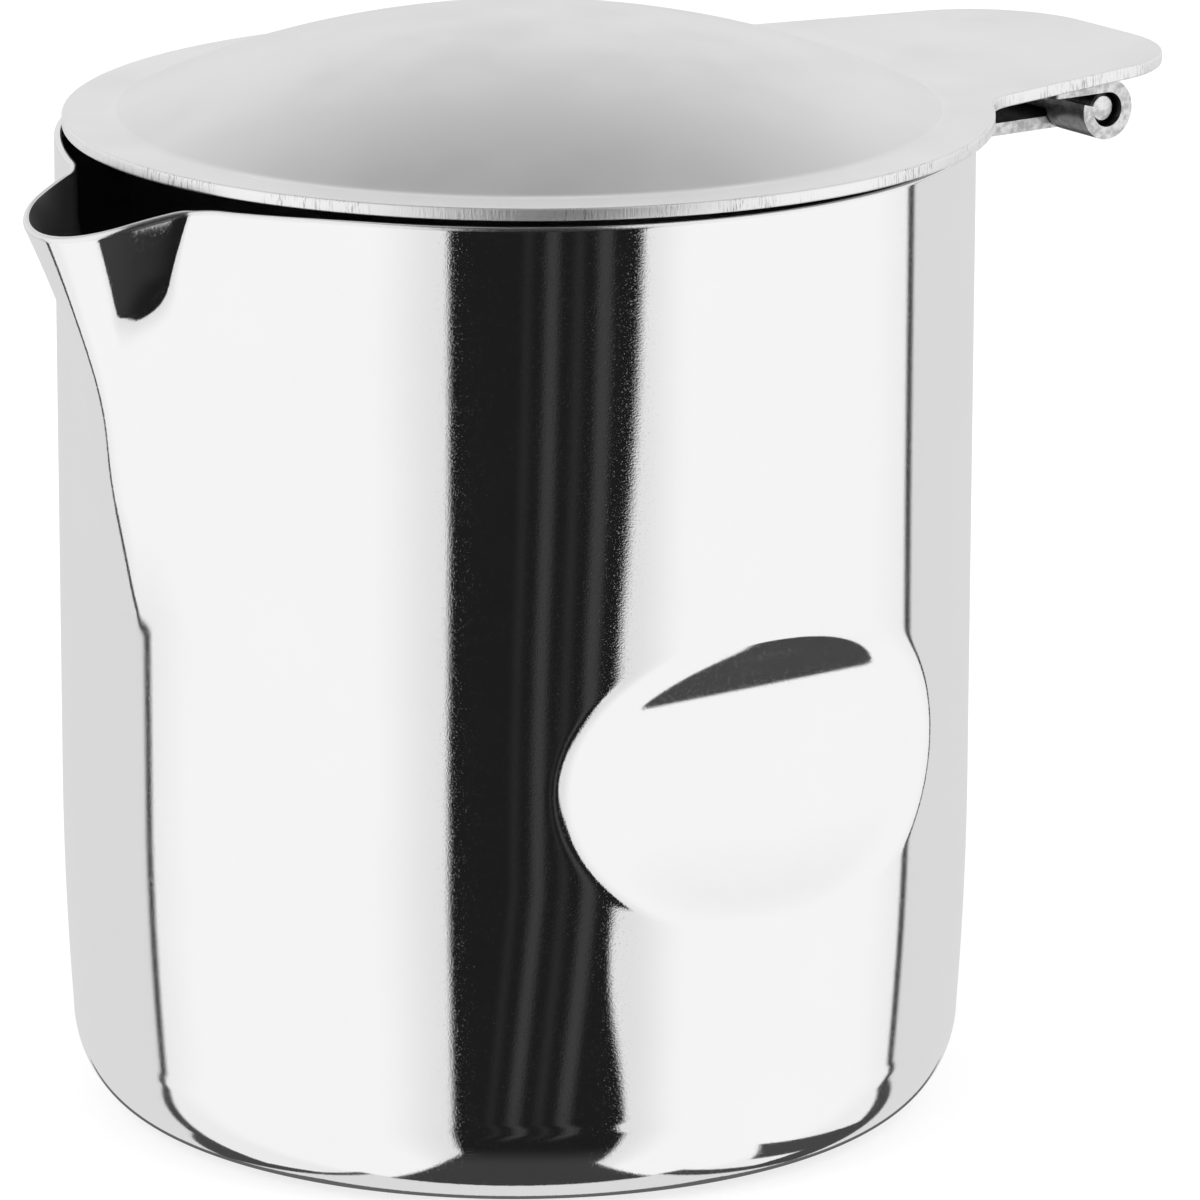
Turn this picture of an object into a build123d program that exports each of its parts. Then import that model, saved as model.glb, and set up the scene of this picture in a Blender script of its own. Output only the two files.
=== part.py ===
from build123d import *
import os
from math import asin, atan2, cos, degrees, hypot, radians, sin, sqrt

# Lidded milk jug in stainless steel sheet, in millimetres.
# The origin is the centre of the base on the table, +Z is up,
# the spout points along -X and the lid hinge lies along +X.

# Drawn cup
body_radius = 37.0
body_height = 80.0
wall = 0.6
base_corner_radius = 7.4
base_taper = 0.65
taper_start_height = 27.0

# Spout pressed out of the wall
spout_reach = 9.6
spout_fade_height = 49.0
spout_straight_share = 0.35
spout_nose_radius = 7.5
spout_flank_angle = 20.0
spout_flank_spread = 46.0
spout_seam_radius = 1.6
spout_sections = 4

# Lip: the rim falls along an arc towards the tip of the spout
lip_fall_start = 29.0
lip_fall_radius = 40.0

# Thumb dimples pressed into both flanks
dimple_height = 34.5
dimple_depth = 4.3
dimple_radius = 18.0
dimple_edge_radius = 5.5

# Lid: flat flange, shallow dome and thumb tab in one sheet
lid_gap = 0.4
lid_sheet = 1.02
lid_radius = 37.5
lid_shift = 1.3
lid_crease_radius = 33.6
dome_rise = 7.5
tab_reach = 60.4
tab_root_half_width = 18.1
tab_end_half_width = 12.4
tab_corner_radius = 11.0
tab_root_fillet = 6.0

# Hinge: two leaves of one sheet, curled round a pin
hinge_sheet = 1.05
pin_radius = 1.2
pin_grip = 0.03
pin_play = 0.25
pin_recess = 0.7
pin_chamfer = 0.2
pin_from_wall = 12.8
knuckle_wrap = 285.0
knuckle_side_gap = 0.25
barrel_half_length = 13.6
body_leaf_half_width = 8.2
leaf_bend_radius = 0.8
weld_flange_drop = 9.0
weld_flange_corner = 2.0
weld_gap = 0.05
lid_leaf_reach = 6.2
lid_leaf_corner = 1.5
lid_leaf_notch_gap = 0.5

# Heights, radii and places that follow from the sizes above
lid_underside = body_height + lid_gap
lid_top = lid_underside + lid_sheet
lid_bore = pin_radius + pin_play
lid_knuckle_radius = lid_bore + hinge_sheet
body_bore = pin_radius + pin_grip
body_knuckle_radius = body_bore + hinge_sheet
pin_x = body_radius + pin_from_wall
pin_z = lid_underside - lid_knuckle_radius
leaf_underside = pin_z - body_knuckle_radius
notch_half_width = body_leaf_half_width + knuckle_side_gap

# How far cutting tools reach past what they cut
tool_margin = 5.0


def cup_solid(inset, floor, top):
    """Round cup whose outer face lies inset inside the jug's own outer face."""
    across = base_taper + base_corner_radius
    rise = taper_start_height - base_corner_radius
    taper_angle = degrees(atan2(across, rise) - asin(base_corner_radius / hypot(across, rise)))
    corner_center = (body_radius - across, base_corner_radius)
    corner = CenterArc(corner_center, base_corner_radius - inset, -90, 90 - taper_angle)
    taper_top = (body_radius - inset, taper_start_height)
    outline = (
        Line((0, floor), corner @ 0)
        + corner
        + Line(corner @ 1, taper_top)
        + Line(taper_top, (body_radius - inset, top))
        + Line((body_radius - inset, top), (0, top))
        + Line((0, top), (0, floor))
    )
    return revolve(make_face(Plane.XZ * outline), Axis.Z, 360)


def beak_section(height, inset):
    """Horizontal section of the spout: a round nose between flanks that open out downwards.

    Each flank ends inside the cup, at its nearest point to the axis.
    """
    rise = (height - spout_fade_height) / (body_height - spout_fade_height)
    reach = spout_reach * (spout_straight_share * rise + (1 - spout_straight_share) * rise * abs(rise))
    flank_angle = spout_flank_angle + spout_flank_spread * (1 - rise)
    nose_radius = spout_nose_radius - inset
    nose_out = body_radius + reach - spout_nose_radius
    nose = CenterArc((-nose_out, 0), nose_radius, 90 + flank_angle, 180 - 2 * flank_angle)
    flank_end = nose_out * sin(radians(flank_angle)) + nose_radius
    end_x = -flank_end * sin(radians(flank_angle))
    end_y = flank_end * cos(radians(flank_angle))
    outline = (
        Line((end_x, end_y), nose @ 0)
        + nose
        + Line(nose @ 1, (end_x, -end_y))
        + Line((end_x, -end_y), (end_x, end_y))
    )
    return make_face(Plane.XY.offset(height) * outline)


def beak_solid(inset, top):
    """Spout pressed out of the wall, fading into it downwards."""
    low = spout_fade_height - tool_margin
    step = (top - low) / (spout_sections - 1)
    return loft([beak_section(low + step * i, inset) for i in range(spout_sections)])


def dimple_tool(side, inset):
    """Round bar across the flank that presses one thumb dimple."""
    axis_y = side * (body_radius - dimple_depth + dimple_radius)
    bar = Cylinder(dimple_radius + inset, 2 * body_radius, rotation=(0, 90, 0))
    return Pos(0, axis_y, dimple_height) * bar


def seam_edges(form, inset):
    """Edges where the spout meets the round wall."""
    radius = body_radius - inset
    seams = []
    for edge in form.edges():
        points = [edge @ share for share in (0.1, 0.5, 0.9)]
        on_wall = all(abs(hypot(p.X, p.Y) - radius) < 0.001 for p in points)
        in_spout = all(p.X < -body_radius / 2 and p.Z > spout_fade_height for p in points)
        level = abs(points[0].Z - points[2].Z) < 0.001
        if on_wall and in_spout and not level:
            seams.append(edge)
    return seams


def dimple_edges(form, inset):
    """Closed outlines of the two dimples."""
    radius = body_radius - inset
    outlines = []
    for edge in form.edges():
        points = [edge @ share for share in (0.1, 0.5, 0.9)]
        on_wall = all(abs(hypot(p.X, p.Y) - radius) < 0.2 for p in points)
        beside = all(abs(p.Y) > body_radius / 2 for p in points)
        near = all(abs(p.Z - dimple_height) < dimple_radius for p in points)
        if on_wall and beside and near:
            outlines.append(edge)
    return outlines


def jug_form(inset, floor, top):
    """Cup with its spout and dimples, moved inwards by inset."""
    form = cup_solid(inset, floor, top) + beak_solid(inset, top)
    form = form.fillet(spout_seam_radius + inset, seam_edges(form, inset))
    form = form - dimple_tool(-1, inset) - dimple_tool(1, inset)
    return form.fillet(dimple_edge_radius - inset, dimple_edges(form, inset))


def lip_cutter():
    """Everything above the rim, which falls along an arc towards the spout tip."""
    far = body_radius + spout_reach + tool_margin
    fall_angle = degrees(asin((far - lip_fall_start) / lip_fall_radius))
    fall = CenterArc((-lip_fall_start, body_height - lip_fall_radius), lip_fall_radius, 90, fall_angle)
    high = body_height + 2 * tool_margin
    outline = (
        fall
        + Line(fall @ 1, (-far, high))
        + Line((-far, high), (far, high))
        + Line((far, high), (far, body_height))
        + Line((far, body_height), fall @ 0)
    )
    return extrude(make_face(Plane.XZ * outline), body_radius + tool_margin, both=True)


def jug_body():
    """One drawn shell of even wall, with spout, dimples and a rim that falls at the lip."""
    top = body_height + tool_margin
    return jug_form(0, 0, top) - jug_form(wall, wall, top) - lip_cutter()


def lid_plan():
    """Outline of the lid seen from above: round flange and rounded thumb tab."""
    disc = Pos(lid_shift, 0) * Circle(lid_radius)
    root_x = lid_shift + sqrt(lid_radius**2 - tab_root_half_width**2)
    taper = (tab_root_half_width - tab_end_half_width) / (tab_reach - root_x)
    inner_x = root_x - tool_margin
    inner_y = tab_root_half_width + tool_margin * taper
    corners = [
        (inner_x, inner_y),
        (tab_reach, tab_end_half_width),
        (tab_reach, -tab_end_half_width),
        (inner_x, -inner_y),
    ]
    tab = make_face(Polyline(*corners, close=True))
    tab = fillet(tab.vertices().sort_by(Axis.X)[-2:], tab_corner_radius)
    plan = disc + tab
    roots = [v for v in plan.vertices() if v.X > lid_shift and abs(v.Y) > tab_end_half_width]
    roots = [v for v in roots if abs(hypot(v.X - lid_shift, v.Y) - lid_radius) < 0.001]
    return fillet(roots, tab_root_fillet)


def lid():
    """Flange, dome and tab as one pressed sheet with an even thickness."""
    plate = Pos(0, 0, lid_underside) * extrude(lid_plan(), lid_sheet)
    dome_radius = (lid_crease_radius**2 + dome_rise**2) / (2 * dome_rise)
    dome_center = Pos(lid_shift, 0, lid_top + dome_rise - dome_radius) * Rot(90, 0, 0)
    above = Pos(lid_shift, 0, lid_underside + lid_sheet / 2) * Cylinder(
        lid_radius, 2 * dome_rise, align=(Align.CENTER, Align.CENTER, Align.MIN)
    )
    dome = dome_center * Sphere(dome_radius) & above
    return plate + dome - dome_center * Sphere(dome_radius - lid_sheet)


def knuckle(bore, start_angle, turn, low_y, high_y):
    """Sheet curled round the pin from start_angle through turn degrees."""
    center = (pin_x, pin_z)
    inside = CenterArc(center, bore, start_angle, turn)
    outside = CenterArc(center, bore + hinge_sheet, start_angle, turn)
    outline = inside + Line(inside @ 1, outside @ 1) + outside + Line(outside @ 0, inside @ 0)
    curl = extrude(make_face(Plane.XZ * outline), high_y - low_y, dir=(0, 1, 0))
    return Pos(0, low_y, 0) * curl


def weld_foot():
    """Foot of the body leaf, bent down and curved to lie on the round wall."""
    inner = body_radius + weld_gap
    outer = inner + hinge_sheet
    bend_x = outer + leaf_bend_radius
    bend_z = leaf_underside - leaf_bend_radius
    bottom = leaf_underside - weld_flange_drop
    back = CenterArc((bend_x, bend_z), leaf_bend_radius + hinge_sheet, 90, 90)
    front = CenterArc((bend_x, bend_z), leaf_bend_radius, 90, 90)
    outline = (
        back
        + Line(back @ 1, (inner, bottom))
        + Line((inner, bottom), (outer, bottom))
        + Line((outer, bottom), front @ 1)
        + front
        + Line(front @ 0, back @ 0)
    )
    ring = revolve(make_face(Plane.XZ * outline), Axis.Z, 360)
    strip = Pos(0, (bottom + pin_z) / 2) * RectangleRounded(
        2 * body_leaf_half_width, pin_z - bottom, weld_flange_corner
    )
    return ring & extrude(Plane.YZ * strip, 2 * body_radius)


def body_hinge_leaf():
    """Leaf welded to the wall, curled up round the pin as the middle knuckle."""
    bend_x = body_radius + weld_gap + hinge_sheet + leaf_bend_radius
    plate = Pos((body_radius + pin_x) / 2, 0) * Rectangle(pin_x - body_radius, 2 * body_leaf_half_width)
    plate = Pos(0, 0, leaf_underside) * extrude(plate - Circle(bend_x), hinge_sheet)
    curl = knuckle(body_bore, -90, knuckle_wrap, -body_leaf_half_width, body_leaf_half_width)
    return weld_foot() + plate + curl


def lid_hinge_leaf():
    """Leaf welded under the tab, curled down round the pin at both ends."""
    strip = Rectangle(lid_leaf_reach, 2 * barrel_half_length)
    strip = fillet(strip.vertices().sort_by(Axis.X)[:2], lid_leaf_corner)
    strip = Pos(pin_x - lid_leaf_reach / 2, 0) * strip
    notch_reach = body_knuckle_radius + lid_leaf_notch_gap
    strip = strip - Pos(pin_x - notch_reach / 2, 0) * Rectangle(notch_reach, 2 * notch_half_width)
    leaf = Pos(0, 0, lid_underside - hinge_sheet) * extrude(strip, hinge_sheet)
    leaf += knuckle(lid_bore, 90, -knuckle_wrap, -barrel_half_length, -notch_half_width)
    leaf += knuckle(lid_bore, 90, -knuckle_wrap, notch_half_width, barrel_half_length)
    return leaf


def hinge_pin():
    """Plain pin held by the middle knuckle, its ends just inside the barrel."""
    pin = Cylinder(pin_radius, 2 * (barrel_half_length - pin_recess), rotation=(90, 0, 0))
    ends = pin.edges().filter_by(GeomType.CIRCLE)
    return Pos(pin_x, 0, pin_z) * chamfer(ends, pin_chamfer)


def main():
    """Write one STEP file for each piece."""
    os.makedirs("parts", exist_ok=True)
    pieces = {
        "jug_body": jug_body(),
        "body_hinge_leaf": body_hinge_leaf(),
        "hinge_pin": hinge_pin(),
        "lid": lid(),
        "lid_hinge_leaf": lid_hinge_leaf(),
    }
    for node, piece in pieces.items():
        export_step(piece, f"parts/{node}.step")


main()
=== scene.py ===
from math import asin, atan2, cos, degrees, pi, radians, sin, sqrt, tan

import bpy
import numpy as np
from mathutils import Matrix, Vector


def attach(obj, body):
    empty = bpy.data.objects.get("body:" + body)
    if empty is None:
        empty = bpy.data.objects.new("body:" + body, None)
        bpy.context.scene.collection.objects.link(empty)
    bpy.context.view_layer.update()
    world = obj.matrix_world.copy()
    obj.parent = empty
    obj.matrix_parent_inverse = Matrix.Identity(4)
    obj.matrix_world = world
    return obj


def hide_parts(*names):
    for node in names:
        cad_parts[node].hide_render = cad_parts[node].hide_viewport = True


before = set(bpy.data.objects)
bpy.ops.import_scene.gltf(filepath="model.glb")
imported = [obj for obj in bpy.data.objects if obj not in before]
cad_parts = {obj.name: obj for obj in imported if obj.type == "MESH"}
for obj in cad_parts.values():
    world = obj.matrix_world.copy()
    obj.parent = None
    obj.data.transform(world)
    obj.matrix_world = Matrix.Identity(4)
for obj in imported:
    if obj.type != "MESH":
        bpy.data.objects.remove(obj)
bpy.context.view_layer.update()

# Lidded milk jug in stainless steel. Sizes are in millimetres, in the frame of
# the CAD model: +Z up, the spout along -X, the lid hinge along +X.
MM = 0.001

# Drawn cup
BODY_RADIUS = 37.0
BODY_HEIGHT = 80.0
WALL = 0.6
CORNER_WIDTH = 5.5
CORNER_HEIGHT = 7.4
LEAN_RADIUS = 294.0
LEAN_START = 27.0
RIM_OUTER_ROUNDING = 0.34
RIM_INNER_ROUNDING = 0.16

# Spout: a round nose between flanks that open out downwards
SPOUT_REACH = 9.6
SPOUT_FADE = 49.0
SPOUT_STRAIGHT = 0.35
NOSE_RADIUS = 7.5
NOSE_LEAST = 5.5
NOSE_TOP = 78.2
NOSE_SHRINK = 0.25
FLANK_ANGLE = 19.0
FLANK_SPREAD = 35.0
FLANK_LEAST = 5.0
FLANK_MOST = 80.0
LEAST_SINE = 0.05
FLANK_FLARE = 14.0
FLARE_LOW = 68.5
FLARE_HIGH = 74.0
# Degrees from the middle of the spout over which it sinks into the wall
SPOUT_NEAR = 14.0
SPOUT_FAR = 28.0
SPOUT_DROP = 9.0

# Seam between spout and wall: crisp at the rim and the foot, soft between
SEAM_BLEND = 0.4
SEAM_SOFTENING = 0.25
SEAM_SOFT_DEPTH = 24.0
FOOT_SHARPNESS = 0.88
FOOT_LOW = 42.0
FOOT_HIGH = 58.0
# The wall swells beside the spout near the rim
SEAM_SWELL = 1.4
SWELL_NEAR = 10.5
SWELL_FAR = 17.5
SWELL_LOW = 69.0

# Lip: the rim falls along an arc towards the tip of the spout
LIP_FALL_START = 29.0
LIP_FALL_RADIUS = 40.0

# Thumb dimples, each in a faint hollow of the wall
DIMPLE_HEIGHT = 34.5
DIMPLE_DEPTH = 4.3
DIMPLE_RADIUS = 17.0
DIMPLE_BLEND = 1.0
HOLLOW_DEPTH = 0.25
HOLLOW_WIDTH = 16.0
LEAST_DIMPLE_SINE = 0.2

# Lid: flat flange, shallow dome and thumb tab in one sheet
LID_GAP = 0.4
LID_SHEET = 1.02
LID_RADIUS = 37.49
LID_SHIFT = 1.3
CREASE_RADIUS = 33.6
CREASE_ROUNDING = 2.0
DOME_RISE = 7.5
TAB_REACH = 60.4
TAB_ROOT_HALF = 18.1
TAB_CORNER = 11.0
TAB_END_HALF = 12.4
TAB_ROOT_FILLET = 6.0
LID_EDGE_ROUNDING = 0.2

LID_UNDERSIDE = BODY_HEIGHT + LID_GAP
LID_TOP = LID_UNDERSIDE + LID_SHEET

# Mesh grids: rows of each stretch, and degrees between columns
BASE_ROWS = 8
CORNER_ROWS = 26
WALL_ROWS = 190
RIM_ROWS = 7
SPOUT_STEP = 0.35
DIMPLE_STEP = 0.6
WALL_STEP = 1.4
SPOUT_HALF_ANGLE = 26.0
DIMPLE_HALF_ANGLE = 42.0
DOME_ROWS = 44
CREASE_ROWS = 8
LID_EDGE_ROWS = 5
TAB_STEP = 0.45
DISC_STEP = 1.0
TAB_HALF_ANGLE = 34.0
FIRST_BASE_SHARE = 0.15
FIRST_DOME_SHARE = 0.03
FLANGE_SHARES = (0.2, 0.3, 0.5, 0.7, 0.85, 0.95, 1.0)
UNDERSIDE_SHARES = (0.95, 0.85, 0.7, 0.5, 0.3, 0.15, 0.05, 0.0)
TAB_END_POINTS = 30
TAB_CORNER_POINTS = 60
TAB_FILLET_POINTS = 40
DISC_POINTS = 500
OUTLINE_STEP = 0.4
RIM_PASSES = 12

# Camera: the photograph's view, with its turn and tilts in radians
CAMERA_TURN = radians(34.5)
CAMERA_ELEVATION = radians(15.083)
CAMERA_DISTANCE = 716.17
CAMERA_PAN = -0.00963
CAMERA_TILT = 0.000906
CAMERA_LENS = 263.64
AIM_HEIGHT = 40.0
SENSOR_WIDTH = 36.0
# Clipping distances, in metres
CLIP_START = 0.01
CLIP_END = 50.0

# Studio brightness, as polished steel sees it
PANEL_SHADE = 0.93
PANEL_INNER_SHADE = 0.76
FRAME_SHADE = 0.06
GAP_SHADE = 0.011
GAP_TOP_SHADE = 0.045
TABLE_SHADE = 0.71
TABLE_FAR_SHADE = 0.12
WALL_SHADE = 0.8
CEILING_SHADE = 0.3
ROUGH_SHADE = 0.9

# Soft panels, by degrees to the right of the camera: where they start at the
# gap, reach full brightness, start to dim again and end
RIGHT_INNER = 29.0
RIGHT_FULL = 45.0
RIGHT_DIM = 98.0
RIGHT_END = 117.0
RIGHT_END_SHARE = 0.93
LEFT_INNER = -16.0
LEFT_FULL = -37.0
LEFT_DIM = -88.0
LEFT_END = -105.0
LEFT_END_SHARE = 0.92
PANEL_TOP_SHARE = 0.92
PANEL_TOP_START = 0.1
PANEL_TOP_FULL = 0.9

# Upright streaks in the dark gap: degrees right, half width and brightness
STREAKS = ((9.0, 1.0, 0.032), (22.0, 1.2, 0.034), (15.5, 0.5, 0.012), (3.0, 0.3, 0.01))
STREAK_SOFTNESS = 1.2
STREAK_SLANT = 0.75
STREAK_SLANT_LIFT = 13.0
STREAK_FADE_LOW = 24.0
STREAK_FADE_HIGH = 32.0
GAP_FADE_LOW = 36.0
GAP_FADE_HIGH = 58.0

# Edges of gap, panels and frames on a level sheet at unit height
EDGE_SOFTNESS = 0.007
LEAST_STEEPNESS = 0.01
GAP_RIGHT = 0.33
GAP_LEFT = 0.3
# The gap's right edge leans less above the first lift, and more above the next
GAP_BEND_LOW = 10.5
GAP_BEND_HIGH = 19.0
GAP_LEAN_LOW = 0.649
GAP_LEAN_HIGH = 0.456
GAP_BEND_NEXT = 19.5
GAP_BEND_LAST = 26.0
GAP_LEAN_MORE = 0.098
GAP_LEFT_LEAN = 0.296
GAP_REAR = 0.02
PANEL_RIGHT_NEAR = 0.44
PANEL_RIGHT_REAR = 0.82
PANEL_RIGHT_LEAN = 0.46
PANEL_RIGHT_CUT = 0.28
PANEL_RIGHT_CUT_LEAN = 0.6
PANEL_LEFT_NEAR = 0.4
PANEL_LEFT_REAR = 0.54
PANEL_LEFT_LEAN = 0.257
PANEL_LEFT_CUT_START = 0.3
PANEL_LEFT_CUT_LEAN = 0.3
FRAME_NEAR = 0.36
FRAME_RIGHT_REAR = 1.05
FRAME_RIGHT_LEAN = 0.525
FRAME_LEFT_REAR = 0.68
FRAME_LEFT_LEAN = 0.31
FRAME_LEFT_CORNER = 1.55
FRAME_LEFT_CORNER_LEAN = 1.1
TABLE_FAR_START = 0.7
TABLE_FAR_END = 2.4
TABLE_FAR_HALF = 0.1
TABLE_FAR_SPREAD = 0.25
ROOM_FADE_LOW = 22.0
ROOM_FADE_HIGH = 66.0

# Dark fold in the right panel
FOLD_LEFT = 0.59
FOLD_RIGHT = 0.86
FOLD_SOFTNESS = 0.03
FOLD_FRONT = 0.83
FOLD_REAR = 1.0

# Floor
FLOOR_HALF = 4.0
FLOOR_DROP = 0.00005
FLOOR_GREY = 0.42
FLOOR_GLOW = 0.62

# Lamps: place and size in metres, power in watts
LAMP_SIZE = 0.9
LAMP_POWER = 6.0
LAMPS = {"lamp_left": (-0.9, -0.7, 1.1), "lamp_right": (0.9, -0.6, 1.2)}

# Steel: sizes and heights in millimetres, and the noise levels between which
# each effect comes in
NOISE_ROUGHNESS = 0.6
CLOUD_SIZE = 11.0
CLOUD_SHADE_LEVELS = (0.25, 0.75)
CLOUD_SHADE_SHARE = 0.985
CLOUD_GLOSS_LEVELS = (0.3, 0.7)
CLOUD_GLOSS_SHARES = (0.85, 1.2)
SPECKLE_SIZE = 0.12
SPECKLE_LEVELS = (0.58, 0.84)
TOOL_MARK_SIZE = 0.16
TOOL_MARK_STRETCH = 0.12
TOOL_MARK_HEIGHT = 0.02
NICK_LEVELS = (0.52, 0.66)
NICK_PATCH_SIZE = 9.0
NICK_PATCH_LEVELS = (0.45, 0.6)
MOTTLE_SIZE = 0.7
MOTTLE_LEVELS = (0.36, 0.64)
MOTTLE_SHADE = 0.6
# Painted highlight on hinge faces that look along the pin, by how much of their normal lies along it
END_HIGHLIGHT_LEVELS = (0.9, 0.97)
SCALE_SIZE = 0.35
SCALE_HEIGHT = 0.03


# Node helpers
class Value:
    """A node's output with arithmetic, so that a node tree reads as a formula."""

    def __init__(self, graph, socket):
        self.graph = graph
        self.socket = socket

    def __add__(self, other):
        return self.graph.math("ADD", self, other)

    def __sub__(self, other):
        return self.graph.math("SUBTRACT", self, other)

    def __mul__(self, other):
        return self.graph.math("MULTIPLY", self, other)

    def __truediv__(self, other):
        return self.graph.math("DIVIDE", self, other)

    def __neg__(self):
        return self * -1.0

    def __abs__(self):
        return self.graph.math("ABSOLUTE", self)


class Graph:
    """Short names for building a node tree."""

    def __init__(self, tree):
        self.tree = tree
        tree.nodes.clear()

    def node(self, kind, settings=None, **inputs):
        node = self.tree.nodes.new(kind)
        for name, value in (settings or {}).items():
            setattr(node, name, value)
        for name, value in inputs.items():
            self.put(node.inputs[name.replace("_", " ")], value)
        return node

    def put(self, socket, value):
        if isinstance(value, Value):
            value = value.socket
        if isinstance(value, bpy.types.NodeSocket):
            self.tree.links.new(value, socket)
        else:
            socket.default_value = value

    def value(self, socket):
        return Value(self, socket)

    def math(self, operation, *values):
        node = self.tree.nodes.new("ShaderNodeMath")
        node.operation = operation
        for socket, value in zip(node.inputs, values):
            self.put(socket, value)
        return Value(self, node.outputs[0])

    def larger(self, first, second):
        return self.math("MAXIMUM", first, second)

    def smaller(self, first, second):
        return self.math("MINIMUM", first, second)

    def ramp(self, value, low, high, out_low=0.0, out_high=1.0):
        """Smooth step of value from low to high."""
        node = self.node("ShaderNodeMapRange", {"interpolation_type": "SMOOTHSTEP"})
        for socket, number in zip(node.inputs, (value, low, high, out_low, out_high)):
            self.put(socket, number)
        return Value(self, node.outputs[0])

    def between(self, value, low, high, soft):
        """1 inside low..high, falling to 0 over soft outside."""
        return self.ramp(value, low - soft, low) * self.ramp(value, high, high + soft, 1.0, 0.0)

    def blend(self, factor, first, second):
        """First where factor is 0, second where it is 1."""
        node = self.tree.nodes.new("ShaderNodeMix")
        for socket, value in zip((node.inputs[0], node.inputs[2], node.inputs[3]), (factor, first, second)):
            self.put(socket, value)
        return Value(self, node.outputs[0])

    def noise(self, place, size, detail=2.0):
        """Noise whose features measure size millimetres."""
        node = self.node("ShaderNodeTexNoise", Vector=place, Scale=1.0 / (size * MM), Detail=detail)
        self.put(node.inputs["Roughness"], NOISE_ROUGHNESS)
        return Value(self, node.outputs[0])


def new_material(name):
    material = bpy.data.materials.new(name)
    material.use_nodes = True
    return material, Graph(material.node_tree)


# Studio
class Ray:
    """Where a ray goes in the studio, in axes turned with the camera.

    right and front say where it meets a level sheet at unit height, overhead
    or below. Most edges in the studio are straight lines on that sheet. side
    and lift are its bearing and its steepness in degrees.
    """

    def __init__(self, g, direction):
        self.g = g
        turned = g.node(
            "ShaderNodeVectorRotate", {"rotation_type": "Z_AXIS"}, Vector=direction, Angle=CAMERA_TURN
        )
        parts = g.node("ShaderNodeSeparateXYZ", Vector=turned.outputs[0]).outputs
        across, away, self.rise = map(g.value, parts)
        self.steep = g.larger(abs(self.rise), LEAST_STEEPNESS)
        self.lift = g.math("DEGREES", g.math("ARCSINE", abs(self.rise)))
        self.side = g.math("DEGREES", g.math("ARCTAN2", across, -away))
        self.right = across / self.steep
        self.front = -away / self.steep
        self.outwards = abs(self.right)

    def past(self, distance):
        """1 where distance on the sheet is above 0, with an even soft edge."""
        return self.g.ramp(distance * self.steep, -EDGE_SOFTNESS, EDGE_SOFTNESS)


def panel_shade(g, ray):
    """Brightness of the two soft panels, fading towards their upright edges."""
    right = g.ramp(ray.side, RIGHT_INNER, RIGHT_FULL, PANEL_INNER_SHADE, PANEL_SHADE)
    right = right * g.ramp(ray.side, RIGHT_DIM, RIGHT_END, 1.0, RIGHT_END_SHARE)
    left = g.ramp(ray.side, LEFT_FULL, LEFT_INNER, PANEL_SHADE, PANEL_INNER_SHADE)
    left = left * g.ramp(ray.side, LEFT_END, LEFT_DIM, LEFT_END_SHARE, 1.0)
    shade = g.blend(g.math("GREATER_THAN", ray.side, 0.0), left, right)
    return shade * g.ramp(ray.rise, PANEL_TOP_START, PANEL_TOP_FULL, 1.0, PANEL_TOP_SHARE)


def gap_shade(g, ray):
    """The dark gap in front, paler overhead, with a few upright streaks low down."""
    shade = g.ramp(ray.lift, GAP_FADE_LOW, GAP_FADE_HIGH, GAP_SHADE, GAP_TOP_SHADE)
    slant = ray.side + (ray.lift - STREAK_SLANT_LIFT) * STREAK_SLANT
    low_down = g.ramp(ray.lift, STREAK_FADE_LOW, STREAK_FADE_HIGH, 1.0, 0.0)
    for centre, half, level in STREAKS:
        streak = g.between(slant, centre - half, centre + half, STREAK_SOFTNESS)
        shade = shade + streak * low_down * level
    return shade


def gap_edges(g, ray):
    """Right and left of the dark gap; its right edge leans in two bends."""
    lean = g.ramp(ray.lift, GAP_BEND_LOW, GAP_BEND_HIGH, GAP_LEAN_LOW, GAP_LEAN_HIGH)
    lean = lean + g.ramp(ray.lift, GAP_BEND_NEXT, GAP_BEND_LAST, 0.0, GAP_LEAN_MORE)
    right = ray.past(ray.right - g.larger(ray.front * lean, GAP_RIGHT))
    left = ray.past(-ray.right - g.larger(ray.front * GAP_LEFT_LEAN, GAP_LEFT))
    return right, left


def trim_panels(g, ray, right, left):
    """The panels, cut off behind the jug."""
    behind = g.ramp(ray.front, -GAP_REAR, GAP_REAR, 1.0, 0.0)
    right = right * g.blend(behind, 1.0, ray.past(ray.right - PANEL_RIGHT_NEAR))
    cut = g.smaller(ray.front + PANEL_LEFT_CUT_START, 0.0) * PANEL_LEFT_CUT_LEAN
    left = left * g.blend(behind, 1.0, ray.past(cut - ray.right - PANEL_LEFT_NEAR))
    rear = g.larger(ray.outwards * PANEL_RIGHT_LEAN, PANEL_RIGHT_REAR)
    rear = g.smaller(ray.outwards * PANEL_RIGHT_CUT_LEAN + PANEL_RIGHT_CUT, rear)
    right = right * ray.past(ray.front + rear)
    left = left * ray.past(ray.front + g.larger(ray.outwards * PANEL_LEFT_LEAN, PANEL_LEFT_REAR))
    return g.larger(left, right)


def dark_frames(g, ray):
    """The dark frames round the panels, a little larger than they are."""
    rear = g.larger(ray.outwards * FRAME_RIGHT_LEAN, FRAME_RIGHT_REAR)
    right = ray.past(ray.front + rear) * ray.past(ray.right - FRAME_NEAR)
    rear = g.larger(ray.outwards * FRAME_LEFT_LEAN, FRAME_LEFT_REAR)
    rear = g.larger(rear, ray.outwards * -FRAME_LEFT_CORNER_LEAN + FRAME_LEFT_CORNER)
    left = ray.past(ray.front + rear) * ray.past(-ray.right - FRAME_NEAR)
    return g.larger(left, right)


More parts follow.
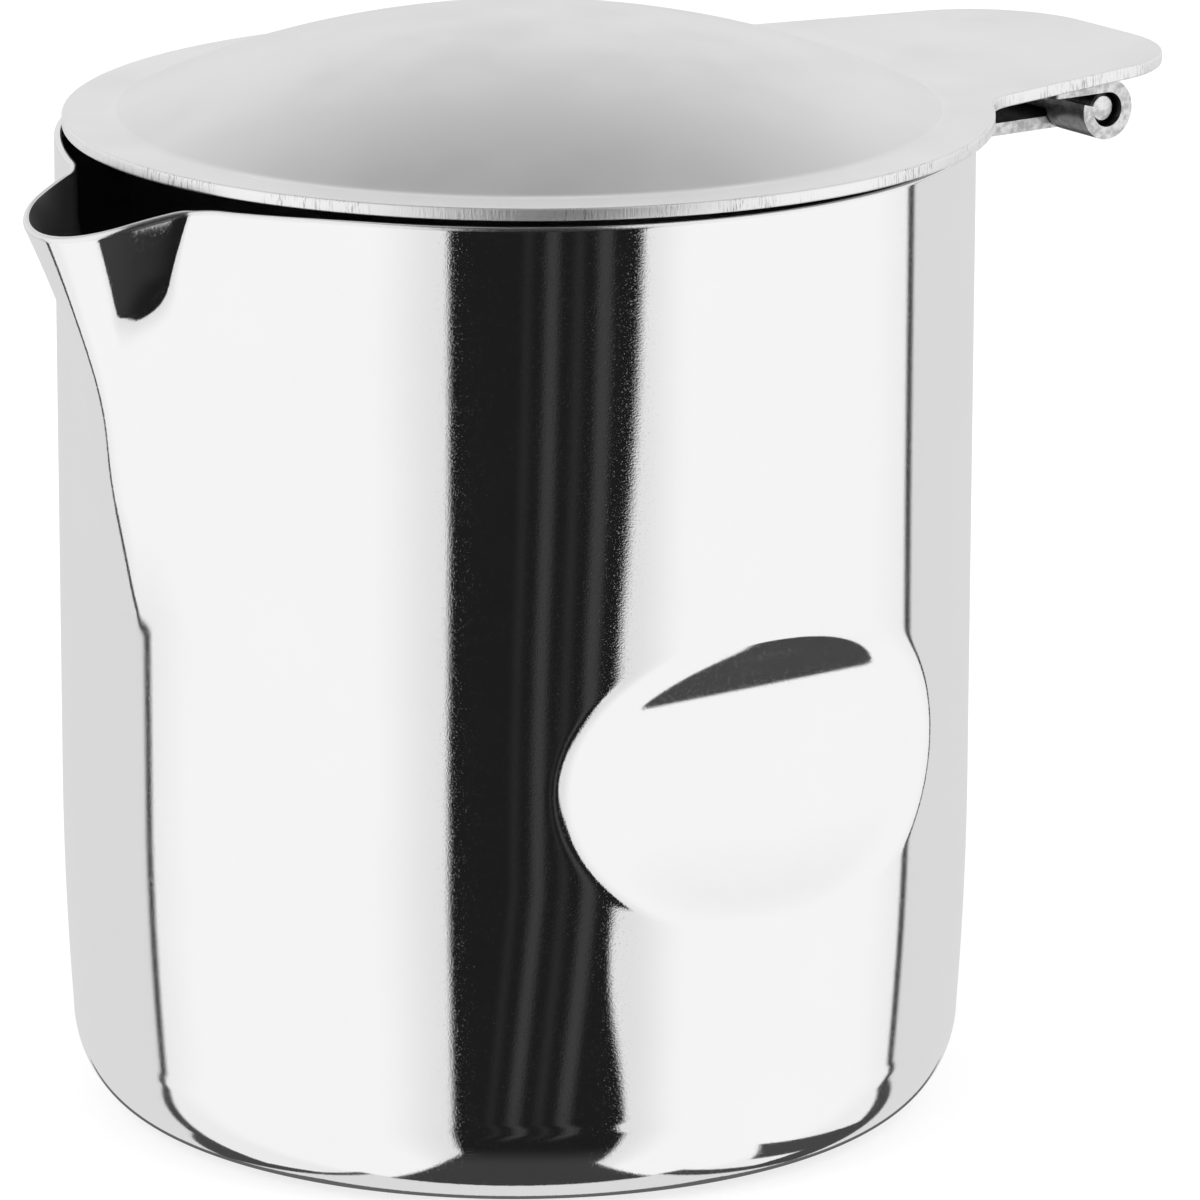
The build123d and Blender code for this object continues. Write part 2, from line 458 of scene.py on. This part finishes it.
def room_shade(g, ray):
    """Below the horizon the pale table with the frames, above it the pale room."""
    far = ray.past(-ray.front - TABLE_FAR_START)
    far = far * ray.past(ray.front * -TABLE_FAR_SPREAD + TABLE_FAR_HALF - ray.outwards)
    far = far * ray.past(ray.front + TABLE_FAR_END)
    table = g.blend(far, TABLE_SHADE, TABLE_FAR_SHADE)
    low = g.blend(dark_frames(g, ray), table, FRAME_SHADE)
    high = g.ramp(ray.lift, ROOM_FADE_LOW, ROOM_FADE_HIGH, WALL_SHADE, CEILING_SHADE)
    return g.blend(g.math("GREATER_THAN", ray.rise, 0.0), low, high)


def fold_mask(g, ray):
    """A dark fold in the right panel, seen in the dimple as a brush stroke."""
    fold = g.between(ray.right, FOLD_LEFT, FOLD_RIGHT, FOLD_SOFTNESS)
    fold = fold * ray.past(ray.right - ray.front - FOLD_FRONT) * ray.past(ray.front + FOLD_REAR)
    return fold * g.math("LESS_THAN", ray.rise, 0.0)


def studio_shade(g, direction):
    """Two tall soft panels that bend over the jug, with a dark gap between them.

    The table mirrors the panels.
    """
    ray = Ray(g, direction)
    right, left = gap_edges(g, ray)
    gap = (-right + 1.0) * (-left + 1.0) * ray.past(ray.front + GAP_REAR)
    shade = g.blend(gap, room_shade(g, ray), gap_shade(g, ray))
    shade = g.blend(trim_panels(g, ray, right, left), shade, panel_shade(g, ray))
    return g.blend(fold_mask(g, ray), shade, FRAME_SHADE)


def make_world():
    """The studio as polished steel sees it, and plain white for the camera."""
    world = bpy.data.worlds.new("studio")
    bpy.context.scene.world = world
    world.use_nodes = True
    g = Graph(world.node_tree)
    shade = studio_shade(g, g.node("ShaderNodeTexCoord").outputs["Generated"])
    path = g.node("ShaderNodeLightPath")
    strength = g.blend(path.outputs["Is Glossy Ray"], ROUGH_SHADE, shade)
    strength = g.blend(path.outputs["Is Camera Ray"], strength, 1.0)
    background = g.node("ShaderNodeBackground", Strength=strength)
    background.inputs["Color"].default_value = (1, 1, 1, 1)
    output = g.node("ShaderNodeOutputWorld")
    g.put(output.inputs["Surface"], background.outputs[0])


def floor_material():
    """Pale grey that takes the shadow, with enough glow to the camera to look white."""
    material, g = new_material("floor_pale")
    path = g.node("ShaderNodeLightPath")
    diffuse = g.node("ShaderNodeBsdfDiffuse")
    diffuse.inputs["Color"].default_value = (FLOOR_GREY, FLOOR_GREY, FLOOR_GREY, 1)
    glow = g.node("ShaderNodeEmission", Strength=g.value(path.outputs["Is Camera Ray"]) * FLOOR_GLOW)
    seen = g.node("ShaderNodeAddShader")
    g.put(seen.inputs[0], diffuse.outputs[0])
    g.put(seen.inputs[1], glow.outputs[0])
    output = g.node("ShaderNodeOutputMaterial")
    g.put(output.inputs["Surface"], seen.outputs[0])
    return material


def make_floor():
    """Pale floor that keeps the shadow."""
    mesh = bpy.data.meshes.new("floor")
    corners = [(x * FLOOR_HALF, y * FLOOR_HALF, 0) for x, y in ((-1, -1), (1, -1), (1, 1), (-1, 1))]
    mesh.from_pydata(corners, [], [(0, 1, 2, 3)])
    floor = bpy.data.objects.new("floor", mesh)
    bpy.context.scene.collection.objects.link(floor)
    floor.location.z = -FLOOR_DROP
    # Polished metal sees the studio's own table instead, painted in the world
    floor.visible_glossy = False
    floor.visible_shadow = False
    mesh.materials.append(floor_material())


def to_row(vector):
    """From axes turned with the camera to the frame's axes."""
    turn = Matrix.Rotation(-CAMERA_TURN, 3, "Z")
    return turn @ vector


def make_camera():
    data = bpy.data.cameras.new("photo_camera")
    camera = bpy.data.objects.new("photo_camera", data)
    bpy.context.scene.collection.objects.link(camera)
    back = CAMERA_DISTANCE * cos(CAMERA_ELEVATION)
    place = Vector((0, -back, CAMERA_DISTANCE * sin(CAMERA_ELEVATION) + AIM_HEIGHT))
    right = Vector((1, 0, 0))
    ahead = Vector((0, cos(CAMERA_ELEVATION), -sin(CAMERA_ELEVATION)))
    up = right.cross(ahead)
    pan = Matrix.Rotation(CAMERA_PAN, 3, up)
    right, ahead = pan @ right, pan @ ahead
    tilt = Matrix.Rotation(CAMERA_TILT, 3, right)
    ahead, up = tilt @ ahead, tilt @ up
    place, right, ahead, up = (to_row(v) for v in (place, right, ahead, up))
    basis = Matrix((right, up, -ahead)).transposed().to_4x4()
    camera.matrix_world = Matrix.Translation(place * MM) @ basis
    data.sensor_fit = "HORIZONTAL"
    data.sensor_width = SENSOR_WIDTH
    data.lens = CAMERA_LENS
    data.clip_start = CLIP_START
    data.clip_end = CLIP_END
    bpy.context.scene.camera = camera


def make_lamp(name, place):
    """Round soft lamp aimed at the jug, which polished metal doesn't see."""
    data = bpy.data.lights.new(name, "AREA")
    data.shape = "DISK"
    data.size = LAMP_SIZE
    data.energy = LAMP_POWER
    lamp = bpy.data.objects.new(name, data)
    bpy.context.scene.collection.objects.link(lamp)
    lamp.location = to_row(Vector(place))
    lamp.rotation_euler = (-lamp.location).to_track_quat("-Z", "Y").to_euler()
    lamp.visible_glossy = False
    lamp.visible_camera = False


# Materials
def grey(g, value):
    colour = g.node("ShaderNodeCombineColor")
    for socket in colour.inputs:
        g.put(socket, value)
    return colour.outputs[0]


def put_metal(g, shade, roughness, height, depth):
    """Metal of a grey shade, bumped by height times depth millimetres."""
    shader = g.node("ShaderNodeBsdfPrincipled", Roughness=roughness)
    shader.inputs["Metallic"].default_value = 1.0
    g.put(shader.inputs["Base Color"], grey(g, shade))
    bump = g.node("ShaderNodeBump", Strength=1.0, Distance=depth * MM, Height=height)
    g.put(shader.inputs["Normal"], bump.outputs[0])
    output = g.node("ShaderNodeOutputMaterial")
    g.put(output.inputs["Surface"], shader.outputs[0])


def steel(name, shade, roughness, grain_size, grain_height, speckle=0.0):
    """Bare stainless steel with a fine grain, and specks that the polish left duller."""
    material, g = new_material(name)
    place = g.node("ShaderNodeTexCoord").outputs["Object"]
    cloud = g.noise(place, CLOUD_SIZE, 3.0)
    least, most = (roughness * share for share in CLOUD_GLOSS_SHARES)
    gloss = g.ramp(cloud, *CLOUD_GLOSS_LEVELS, least, most)
    if speckle:
        gloss = gloss + g.ramp(g.noise(place, SPECKLE_SIZE, 0.0), *SPECKLE_LEVELS) * speckle
    clouded = g.ramp(cloud, *CLOUD_SHADE_LEVELS, shade * CLOUD_SHADE_SHARE, shade)
    put_metal(g, clouded, gloss, g.noise(place, grain_size) * grain_height, 1.0)
    return material


def cut_steel(name, shade, dark, roughness):
    """Sheared sheet edge: bright, with upright tool marks and darker nicks."""
    material, g = new_material(name)
    place = g.node("ShaderNodeTexCoord").outputs["Object"]
    upright = g.node("ShaderNodeMapping", Vector=place)
    upright.inputs["Scale"].default_value = (1.0, 1.0, TOOL_MARK_STRETCH)
    marks = g.noise(upright.outputs[0], TOOL_MARK_SIZE, 2.0)
    patches = g.ramp(g.noise(place, NICK_PATCH_SIZE, 2.0), *NICK_PATCH_LEVELS)
    nicks = g.ramp(marks, *NICK_LEVELS) * patches
    put_metal(g, g.blend(nicks, shade, dark), roughness, marks, TOOL_MARK_HEIGHT)
    return material


def hinge_steel(name, painted_shade, bright, roughness):
    """Curled leaves in painted shade, with a painted highlight on the sawn ends that face along the pin,
    mottled by the weld's heat.
    """
    material, g = new_material(name)
    place = g.node("ShaderNodeTexCoord").outputs["Object"]
    normal = g.node("ShaderNodeTexCoord").outputs["Normal"]
    along_pin = g.value(g.node("ShaderNodeSeparateXYZ", Vector=normal).outputs[1])
    # Faces that look along the pin take the lighter value as a painted highlight, the rest the darker value
    # as painted shade
    end_highlight = g.ramp(abs(along_pin), *END_HIGHLIGHT_LEVELS)
    mottle = g.ramp(g.noise(place, MOTTLE_SIZE, 4.0), *MOTTLE_LEVELS, MOTTLE_SHADE, 1.0)
    shade = g.blend(end_highlight, painted_shade, bright) * mottle
    put_metal(g, shade, roughness, g.noise(place, SCALE_SIZE, 3.0), SCALE_HEIGHT)
    return material


# Shapes of the jug, as distances from its axis
def smooth_high(first, second, blend):
    """The larger of two radii, with their meeting line rounded."""
    overlap = np.maximum(blend - np.abs(first - second), 0) / blend
    return np.maximum(first, second) + overlap**2 * blend / 4


def smooth_low(first, second, blend):
    return -smooth_high(-first, -second, blend)


def smooth_step(value, low, high):
    share = np.clip((value - low) / (high - low), 0, 1)
    return share * share * (3 - 2 * share)


def cup_radius(height):
    """Outer radius of the plain cup, which draws in along an arc near its base."""
    drop = np.maximum(LEAN_START - height, 0)
    return BODY_RADIUS - LEAN_RADIUS + np.sqrt(LEAN_RADIUS**2 - drop**2)


def spout_radius(turn, height):
    """Outer radius of the spout at an angle from its middle, 0 well outside it."""
    rise = (height - SPOUT_FADE) / (BODY_HEIGHT - SPOUT_FADE)
    reach = SPOUT_REACH * (SPOUT_STRAIGHT * rise + (1 - SPOUT_STRAIGHT) * rise * np.abs(rise))
    nose_radius = np.maximum(NOSE_RADIUS - NOSE_SHRINK * (NOSE_TOP - height), NOSE_LEAST)
    flare = FLANK_FLARE * (1 - smooth_step(height, FLARE_LOW, FLARE_HIGH))
    flank = FLANK_ANGLE + FLANK_SPREAD * (1 - rise) + flare
    flank = np.radians(np.clip(flank, FLANK_LEAST, FLANK_MOST))
    centre = BODY_RADIUS + reach - nose_radius
    angle = np.abs(turn)
    nose_end = np.arctan2(nose_radius * np.cos(flank), centre + nose_radius * np.sin(flank))
    nose = centre * np.cos(angle) + np.sqrt(np.maximum(nose_radius**2 - (centre * np.sin(angle)) ** 2, 0))
    side = (centre * np.sin(flank) + nose_radius) / np.maximum(np.sin(angle + flank), LEAST_SINE)
    out = np.where(angle < nose_end, nose, side)
    out = out - SPOUT_DROP * smooth_step(np.degrees(angle), SPOUT_NEAR, SPOUT_FAR)
    return np.where(angle < radians(SPOUT_FAR), out, 0)


def seam_blend(height):
    """Width over which the spout runs into the wall."""
    blend = SEAM_BLEND + SEAM_SOFTENING * np.clip(NOSE_TOP - height, 0, SEAM_SOFT_DEPTH)
    return blend * (1 - FOOT_SHARPNESS * (1 - smooth_step(height, FOOT_LOW, FOOT_HIGH)))


def dimple_radius(angle, height):
    """Radius of the pressing bar's face, a trough that lies along X."""
    offset = np.clip(height - DIMPLE_HEIGHT, -DIMPLE_RADIUS, DIMPLE_RADIUS)
    bar = BODY_RADIUS - DIMPLE_DEPTH + DIMPLE_RADIUS - np.sqrt(DIMPLE_RADIUS**2 - offset**2)
    return bar / np.maximum(np.abs(np.sin(angle)), LEAST_DIMPLE_SINE)


def wall_radius(angle, height):
    """Outer radius of the jug at an angle round Z and a height."""
    turn = np.arctan2(np.sin(angle - pi), np.cos(angle - pi))
    near = 1 - smooth_step(np.degrees(np.abs(turn)), SWELL_NEAR, SWELL_FAR)
    wall = cup_radius(height) + SEAM_SWELL * near * smooth_step(height, SWELL_LOW, BODY_HEIGHT)
    radius = smooth_high(wall, spout_radius(turn, height), seam_blend(height))
    along = np.abs(np.abs(angle) - pi / 2) * BODY_RADIUS
    offset = height - DIMPLE_HEIGHT
    radius = radius - HOLLOW_DEPTH * np.exp(-(along**2 + offset**2) / HOLLOW_WIDTH**2)
    return smooth_low(radius, dimple_radius(angle, height), DIMPLE_BLEND)


def rim_heights(angle):
    """Height of the rim at each angle, nearer with each pass over the wall."""
    height = np.full_like(angle, BODY_HEIGHT)
    for _ in range(RIM_PASSES):
        x = wall_radius(angle, height) * np.cos(angle)
        fall = np.maximum(-x - LIP_FALL_START, 0)
        height = BODY_HEIGHT - LIP_FALL_RADIUS + np.sqrt(LIP_FALL_RADIUS**2 - fall**2)
    return height


def jug_angles():
    """Column angles, closer together round the spout and the dimples."""
    angles = [-pi]
    while angles[-1] < pi:
        turn = degrees(abs(atan2(sin(angles[-1] - pi), cos(angles[-1] - pi))))
        flank = degrees(abs(abs(angles[-1]) - pi / 2))
        step = DIMPLE_STEP if flank < DIMPLE_HALF_ANGLE else WALL_STEP
        step = SPOUT_STEP if turn < SPOUT_HALF_ANGLE else step
        angles.append(angles[-1] + radians(step))
    angles = np.array(angles[:-1])
    return -pi + (angles + pi) * (2 * pi / (angles[-1] + pi + radians(SPOUT_STEP)))


def grid_normals(points):
    """Unit normals of a closed grid of rows and columns, pointing outwards."""
    around = np.roll(points, -1, axis=1) - np.roll(points, 1, axis=1)
    along = np.gradient(points, axis=0)
    normals = np.cross(around, along)
    return normals / np.linalg.norm(normals, axis=2, keepdims=True)


def outer_rows():
    """Rows of points over the outside, from the middle of the base to the rim."""
    angle = jug_angles()
    ring = np.ones_like(angle)
    base = cup_radius(CORNER_HEIGHT) - CORNER_WIDTH
    rows = []
    for share in np.linspace(FIRST_BASE_SHARE, 1, BASE_ROWS)[:-1]:
        rows.append((base * share * ring, 0 * ring))
    for bend in np.linspace(0, pi / 2, CORNER_ROWS)[:-1]:
        out = base + CORNER_WIDTH * sin(bend)
        rows.append((out * ring, CORNER_HEIGHT * (1 - cos(bend)) * ring))
    top = rim_heights(angle)
    for share in np.linspace(0, 1, WALL_ROWS):
        height = CORNER_HEIGHT + (top - CORNER_HEIGHT) * share
        rows.append((wall_radius(angle, height), height))
    return np.array([np.stack([r * np.cos(angle), r * np.sin(angle), z], 1) for r, z in rows])


def jug_rows():
    """Rows over the outside, the rounded rim and the inside of the sheet."""
    outer = outer_rows()
    normals = grid_normals(outer)
    normals[0] = (0, 0, -1)
    inner = outer - WALL * normals
    along = outer[-1] - outer[-2]
    along = along / np.linalg.norm(along, axis=1, keepdims=True)
    rim = []
    for start, rounding, inset in (
        (0, RIM_OUTER_ROUNDING, RIM_OUTER_ROUNDING),
        (pi / 2, RIM_INNER_ROUNDING, WALL - RIM_INNER_ROUNDING),
    ):
        middle = outer[-1] - rounding * along - inset * normals[-1]
        for bend in np.linspace(start, start + pi / 2, RIM_ROWS):
            rim.append(middle + rounding * (cos(bend) * normals[-1] + sin(bend) * along))
    return np.concatenate([outer[:-1], np.array(rim), inner[:-1][::-1]]), len(outer) - 1, len(rim)


def grid_mesh(name, points):
    """Mesh of a grid whose rows close on themselves, with a fan at each end."""
    rows, columns = points.shape[:2]
    index = np.arange(rows * columns).reshape(rows, columns)
    ahead = np.roll(index, -1, axis=1)
    faces = np.stack([index[:-1], ahead[:-1], ahead[1:], index[1:]], 2).reshape(-1, 4).tolist()
    verts = (points.reshape(-1, 3) * MM).tolist()
    for row in (0, rows - 1):
        verts.append((points[row].mean(axis=0) * MM).tolist())
        tip = len(verts) - 1
        ring = index[row].tolist()
        for first, second in zip(ring, ring[1:] + ring[:1]):
            faces.append([tip, second, first] if row == 0 else [tip, first, second])
    mesh = bpy.data.meshes.new(name)
    mesh.from_pydata(verts, [], faces)
    mesh.polygons.foreach_set("use_smooth", [True] * len(mesh.polygons))
    mesh.update()
    return mesh


def face_kinds(points, stretches):
    """Material index of each face of a grid mesh.

    stretches lists where each stretch of rows ends and its index. The fans at
    the two ends take the indices of the first and last stretch.
    """
    columns = points.shape[1]
    kinds = []
    for end, kind in stretches:
        kinds += [kind] * (end * columns - len(kinds))
    return kinds + [stretches[0][1]] * columns + [stretches[-1][1]] * columns


def add_piece(name, mesh, kinds, body, materials, node):
    """A piece that stands for a CAD node, with a material for each kind of face."""
    piece = bpy.data.objects.new(name, mesh)
    bpy.context.scene.collection.objects.link(piece)
    for material in materials:
        mesh.materials.append(material)
    mesh.polygons.foreach_set("material_index", kinds)
    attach(piece, body)
    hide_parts(node)


def make_jug(polished, rim, inside):
    points, outer_count, rim_count = jug_rows()
    rim_end = outer_count + rim_count - 1
    kinds = face_kinds(points, ((outer_count, 0), (rim_end, 1), (len(points) - 1, 2)))
    mesh = grid_mesh("jug_shell", points)
    add_piece("jug_shell", mesh, kinds, "jug", (polished, rim, inside), "jug_body")


# Lid, measured from the middle of the dome
def arc_points(middle, radius, bends):
    return [middle + radius * np.array([cos(bend), sin(bend)]) for bend in bends]


def tab_path():
    """Half the tab's outline: its end, corner and side, and the fillet to the disc."""
    root = np.array([sqrt(LID_RADIUS**2 - TAB_ROOT_HALF**2), TAB_ROOT_HALF])
    side = np.array([TAB_REACH - LID_SHIFT, TAB_END_HALF]) - root
    side = side / np.linalg.norm(side)
    normal = np.array([-side[1], side[0]])
    # Fillet between the disc and the side of the tab
    reach = LID_RADIUS + TAB_ROOT_FILLET
    base = root + normal * TAB_ROOT_FILLET
    along = -(base @ side) + sqrt((base @ side) ** 2 - (base @ base) + reach**2)
    fillet_middle = base + side * along
    touch_disc = fillet_middle * (LID_RADIUS / reach)
    touch_side = fillet_middle - normal * TAB_ROOT_FILLET
    # Rounded corner at the end of the tab
    lean = atan2(-side[1], side[0])
    corner_x = TAB_REACH - LID_SHIFT - TAB_CORNER
    corner_y = root[1] + (corner_x - root[0]) * side[1] / side[0] - TAB_CORNER / cos(lean)
    end_line = np.linspace(0, corner_y, TAB_END_POINTS + 1)[:-1]
    path = [np.array([TAB_REACH - LID_SHIFT, y]) for y in end_line]
    bends = np.linspace(0, pi / 2 - lean, TAB_CORNER_POINTS)
    path += arc_points(np.array([corner_x, corner_y]), TAB_CORNER, bends)
    first = atan2(*(touch_side - fillet_middle)[::-1])
    last = atan2(*(touch_disc - fillet_middle)[::-1])
    path += arc_points(fillet_middle, TAB_ROOT_FILLET, np.linspace(first, last, TAB_FILLET_POINTS))
    return path


def divided(path, longest):
    """The path with straight runs divided into steps no longer than longest."""
    points = [path[0]]
    for point in path[1:]:
        start = points[-1]
        steps = max(1, int(np.linalg.norm(point - start) / longest))
        for step in range(1, steps + 1):
            points.append(start + (point - start) * step / steps)
    return np.array(points)


def lid_turns():
    """Column angles of the lid, closer together round the tab."""
    half = []
    turn = 0.0
    while turn < pi:
        half.append(turn)
        turn += radians(TAB_STEP if turn < radians(TAB_HALF_ANGLE) else DISC_STEP)
    half = np.array(half)
    half = half * pi / (half[-1] + radians(DISC_STEP))
    return np.concatenate([half, [pi], -half[1:][::-1]])


def lid_outline(turns):
    """Radius of the lid's outline at each angle round the dome's middle."""
    tab = divided(tab_path(), OUTLINE_STEP)
    angles = np.arctan2(tab[:, 1], tab[:, 0])
    radii = np.hypot(tab[:, 0], tab[:, 1])
    disc = np.linspace(angles[-1], pi, DISC_POINTS)[1:]
    angles = np.concatenate([angles, disc])
    radii = np.concatenate([radii, np.full(len(disc), LID_RADIUS)])
    return np.interp(np.abs(turns), angles, radii)


def sphere_height(out, radius, middle):
    return middle + np.sqrt(radius**2 - out**2)


def dome_sphere():
    """Radius of the dome's outer face, and the height of its middle."""
    radius = (CREASE_RADIUS**2 + DOME_RISE**2) / (2 * DOME_RISE)
    return radius, LID_TOP + DOME_RISE - radius


def dome_rows():
    """Radius and height of each row over the dome, and round the crease."""
    radius, middle = dome_sphere()
    slope = asin(CREASE_RADIUS / radius)
    reach = CREASE_ROUNDING * tan(slope / 2)
    dome = []
    for share in np.linspace(FIRST_DOME_SHARE, 1, DOME_ROWS):
        out = (CREASE_RADIUS - reach * cos(slope)) * share
        dome.append((out, sphere_height(out, radius, middle)))
    crease = []
    for bend in np.linspace(slope, 0, CREASE_ROWS)[1:]:
        out = CREASE_RADIUS + reach - CREASE_ROUNDING * sin(bend)
        crease.append((out, LID_TOP + CREASE_ROUNDING * (1 - cos(bend))))
    return dome, crease


def edge_rows(outline):
    """Rows round the sheared edge, from top to underside."""
    rows = []
    for bend in np.linspace(0, pi / 2, LID_EDGE_ROWS)[1:]:
        out = outline - LID_EDGE_ROUNDING * (1 - sin(bend))
        rows.append((out, LID_TOP - LID_EDGE_ROUNDING * (1 - cos(bend))))
    for bend in np.linspace(0, pi / 2, LID_EDGE_ROWS):
        out = outline - LID_EDGE_ROUNDING * (1 - cos(bend))
        rows.append((out, LID_UNDERSIDE + LID_EDGE_ROUNDING * (1 - sin(bend))))
    return rows


def underside_rows(flat):
    """Rows over the underside, inwards from the outline of its flat part."""
    radius, middle = dome_sphere()
    inner = sqrt((radius - LID_SHEET) ** 2 - (LID_UNDERSIDE - middle) ** 2)
    rows = [(inner + (flat - inner) * share, LID_UNDERSIDE) for share in UNDERSIDE_SHARES]
    for share in np.linspace(1, FIRST_DOME_SHARE, DOME_ROWS)[1:]:
        out = inner * share
        rows.append((out, sphere_height(out, radius - LID_SHEET, middle)))
    return rows


def lid_rows():
    """Rows over the whole lid, from the dome's top, and where each stretch ends."""
    turns = lid_turns()
    outline = lid_outline(turns)
    flat = outline - LID_EDGE_ROUNDING
    dome, crease = dome_rows()
    flange = [(CREASE_RADIUS + (flat - CREASE_RADIUS) * share, LID_TOP) for share in FLANGE_SHARES]
    rows = dome + crease + flange
    flange_end = len(rows)
    rows += edge_rows(outline)
    edge_end = len(rows)
    rows += underside_rows(flat)
    points = []
    for out, height in rows:
        x = LID_SHIFT + out * np.cos(turns)
        points.append(np.stack([x, out * np.sin(turns), np.full_like(turns, height)], 1))
    return np.array(points), len(dome), flange_end, edge_end


def make_lid(satin, flange, edge, underside):
    points, dome_end, flange_end, edge_end = lid_rows()
    # From the underside up, so that the faces point outwards
    points = points[::-1]
    last = len(points) - 1
    stretches = ((last - edge_end + 1, 3), (last - flange_end + 1, 2), (last - dome_end + 1, 1), (last, 0))
    kinds = face_kinds(points, stretches)
    mesh = grid_mesh("lid_sheet", points)
    materials = (satin, flange, edge, underside)
    add_piece("lid_sheet", mesh, kinds, "lid_assembly", materials, "lid")


def dress_hinge():
    """Materials for the hinge's CAD nodes."""
    # The darker value is painted shade on the faces, the lighter one a painted highlight on the ends
    leaf = hinge_steel("hinge_steel", painted_shade=0.3, bright=0.8, roughness=0.3)
    pin = hinge_steel("pin_steel", painted_shade=0.5, bright=0.9, roughness=0.3)
    dress = {"body_hinge_leaf": leaf, "lid_hinge_leaf": leaf, "hinge_pin": pin}
    for node, material in dress.items():
        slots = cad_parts[node].data.materials
        slots.clear()
        slots.append(material)


def main():
    polished = steel(
        "polished_steel", shade=0.98, roughness=0.03, grain_size=0.14, grain_height=0.0018, speckle=0.12
    )
    rim = steel("rim_steel", shade=0.93, roughness=0.2, grain_size=0.3, grain_height=0.006)
    # The inside is the same sheet as the outside, its darker colour painted shade in the hollow of the cup
    inside = steel("inside_painted_shade_steel", shade=0.6, roughness=0.3, grain_size=0.3, grain_height=0.004)
    make_jug(polished, rim, inside)
    satin = steel("satin_steel", shade=0.93, roughness=0.34, grain_size=0.15, grain_height=0.004)
    # The flange is the same sheet as the dome: smoother, and its colour lighter than the dome's as painted
    # light
    flange = steel("flange_painted_light_steel", shade=0.96, roughness=0.32, grain_size=0.15, grain_height=0.002)
    edge = cut_steel("cut_edge", shade=0.97, dark=0.5, roughness=0.4)
    # The underside is the same sheet as the top, its darker colour painted shade under the lid
    underside = steel("underside_painted_shade_steel", shade=0.45, roughness=0.32, grain_size=0.2, grain_height=0.004)
    make_lid(satin, flange, edge, underside)
    dress_hinge()
    make_world()
    make_floor()
    for name, place in LAMPS.items():
        make_lamp(name, place)
    make_camera()
    bpy.context.scene.view_settings.view_transform = "Standard"


main()
